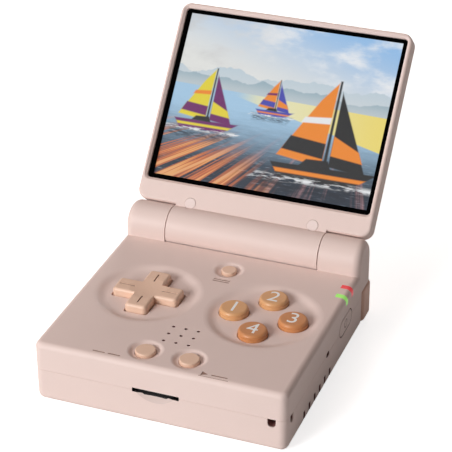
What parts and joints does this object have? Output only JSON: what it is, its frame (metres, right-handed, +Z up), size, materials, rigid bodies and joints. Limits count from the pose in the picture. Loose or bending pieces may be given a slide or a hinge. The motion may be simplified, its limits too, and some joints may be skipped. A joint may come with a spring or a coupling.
{
  "type": "clamshell handheld game console",
  "caption": "Clamshell handheld game console, open, with a hinged screen lid, cross key, round buttons, shoulder keys and a card slot.",
  "frame": {"origin": "middle of the case's underside, where it rests", "axes": "+X to the user's right, +Y from the user towards the hinge, +Z up"},
  "size_m": [0.079, 0.1237, 0.0789],
  "materials": {
    "shell": "matte soft-touch pink plastic",
    "key_beige": "matte beige plastic",
    "key_tan": "satin tan plastic",
    "shoulder_key": "matte brown-pink plastic",
    "cover_glass": "clear glass with a black printed border",
    "display": "lit liquid crystal panel",
    "plug": "soft pale pink rubber",
    "silicone": "translucent silicone",
    "pipe_red": "clear red plastic",
    "pipe_green": "clear green plastic",
    "board": "solder-masked board",
    "dark_part": "moulded black plastic",
    "steel": "plain steel",
    "socket_metal": "plated steel sheet",
    "copper": "copper sheet",
    "cell": "foil pouch",
    "flex": "amber film",
    "bush": "white acetal"
  },
  "bodies": {
    "case": {"bottom_shell": "shell", "top_shell": "shell", "main_board": "board", "processor": "dark_part", "heat_spreader": "copper", "battery": "cell", "speaker": "dark_part", "card_socket": "socket_metal", "usb_socket": "socket_metal", "headphone_socket": "dark_part", "dpad_membrane": "silicone", "face_membrane": "silicone", "small_key_membranes": "silicone", "light_pipe_red": "pipe_red", "light_pipe_green": "pipe_green", "power_switch": "dark_part", "reset_switch": "dark_part", "volume_switch": "dark_part", "shoulder_switches": "dark_part", "case_screws": "steel", "hinge_shafts": "steel", "shoulder_pins": "steel", "lid_sensor": "dark_part"},
    "lid": {"lid_bezel": "shell", "lid_cover": "shell", "cover_glass": "cover_glass", "display_panel": "display", "screw_covers": "plug", "lid_screws": "steel", "hinge_cartridge": "steel", "hinge_bush": "bush", "lid_magnet": "steel", "display_flex": "flex"},
    "dpad_pivot": {"dpad_pivot": "steel"},
    "dpad": {"dpad": "key_beige"},
    "button_left": {"button_left": "key_tan"},
    "button_top": {"button_top": "key_tan"},
    "button_right": {"button_right": "key_tan"},
    "button_bottom": {"button_bottom": "key_tan"},
    "menu_button": {"menu_button": "key_beige"},
    "select_button": {"select_button": "key_beige"},
    "start_button": {"start_button": "key_beige"},
    "power_button": {"power_button": "shell"},
    "shoulder_right_outer": {"shoulder_right_outer": "shoulder_key"},
    "shoulder_left_outer": {"shoulder_left_outer": "shoulder_key"},
    "shoulder_right_inner": {"shoulder_right_inner": "shoulder_key"},
    "shoulder_left_inner": {"shoulder_left_inner": "shoulder_key"},
    "volume_rocker": {"volume_rocker": "key_beige"},
    "memory_card": {"memory_card": "dark_part"}
  },
  "joints": [
    {"name": "lid_hinge", "type": "hinge", "parent": "case", "child": "lid", "pos_m": [0, 0.0335, 0.0222], "axis": [1, 0, 0], "range_deg": [-15, 130.25]},
    {"name": "dpad_tilt_updown", "type": "hinge", "parent": "case", "child": "dpad_pivot", "pos_m": [-0.0183, -0.0029, 0.01415], "axis": [1, 0, 0], "range_deg": [-2.5, 2.5], "stiffness_Nm_per_rad": 1.5},
    {"name": "dpad_tilt_leftright", "type": "hinge", "parent": "dpad_pivot", "child": "dpad", "pos_m": [-0.0183, -0.0029, 0.01415], "axis": [0, 1, 0], "range_deg": [-2.5, 2.5], "stiffness_Nm_per_rad": 1.5},
    {"name": "button_left_press", "type": "slide", "parent": "case", "child": "button_left", "axis": [0, 0, -1], "range_m": [0, 0.0009], "stiffness_N_per_m": 800},
    {"name": "button_top_press", "type": "slide", "parent": "case", "child": "button_top", "axis": [0, 0, -1], "range_m": [0, 0.0009], "stiffness_N_per_m": 800},
    {"name": "button_right_press", "type": "slide", "parent": "case", "child": "button_right", "axis": [0, 0, -1], "range_m": [0, 0.0009], "stiffness_N_per_m": 800},
    {"name": "button_bottom_press", "type": "slide", "parent": "case", "child": "button_bottom", "axis": [0, 0, -1], "range_m": [0, 0.0009], "stiffness_N_per_m": 800},
    {"name": "menu_press", "type": "slide", "parent": "case", "child": "menu_button", "axis": [0, 0, -1], "range_m": [0, 0.0006], "stiffness_N_per_m": 800},
    {"name": "select_press", "type": "slide", "parent": "case", "child": "select_button", "axis": [0, 0, -1], "range_m": [0, 0.0006], "stiffness_N_per_m": 800},
    {"name": "start_press", "type": "slide", "parent": "case", "child": "start_button", "axis": [0, 0, -1], "range_m": [0, 0.0006], "stiffness_N_per_m": 800},
    {"name": "power_press", "type": "slide", "parent": "case", "child": "power_button", "axis": [-1, 0, 0], "range_m": [0, 0.0005], "stiffness_N_per_m": 1200},
    {"name": "shoulder_right_outer_press", "type": "hinge", "parent": "case", "child": "shoulder_right_outer", "pos_m": [0.027, 0.0345, 0.0066], "axis": [0, 0, -1], "range_deg": [0, 3], "stiffness_Nm_per_rad": 1.5},
    {"name": "shoulder_left_outer_press", "type": "hinge", "parent": "case", "child": "shoulder_left_outer", "pos_m": [-0.027, 0.0345, 0.0066], "axis": [0, 0, 1], "range_deg": [0, 3], "stiffness_Nm_per_rad": 1.5},
    {"name": "shoulder_right_inner_press", "type": "slide", "parent": "case", "child": "shoulder_right_inner", "axis": [0, -1, 0], "range_m": [0, 0.0008], "stiffness_N_per_m": 900},
    {"name": "shoulder_left_inner_press", "type": "slide", "parent": "case", "child": "shoulder_left_inner", "axis": [0, -1, 0], "range_m": [0, 0.0008], "stiffness_N_per_m": 900},
    {"name": "volume_tilt", "type": "hinge", "parent": "case", "child": "volume_rocker", "pos_m": [-0.0362, 0.012, 0.0129], "axis": [0, 0, 1], "range_deg": [-2.5, 2.5], "stiffness_Nm_per_rad": 0.8},
    {"name": "card_slide", "type": "slide", "parent": "case", "child": "memory_card", "axis": [0, -1, 0], "range_m": [0, 0.0145]}
  ]
}
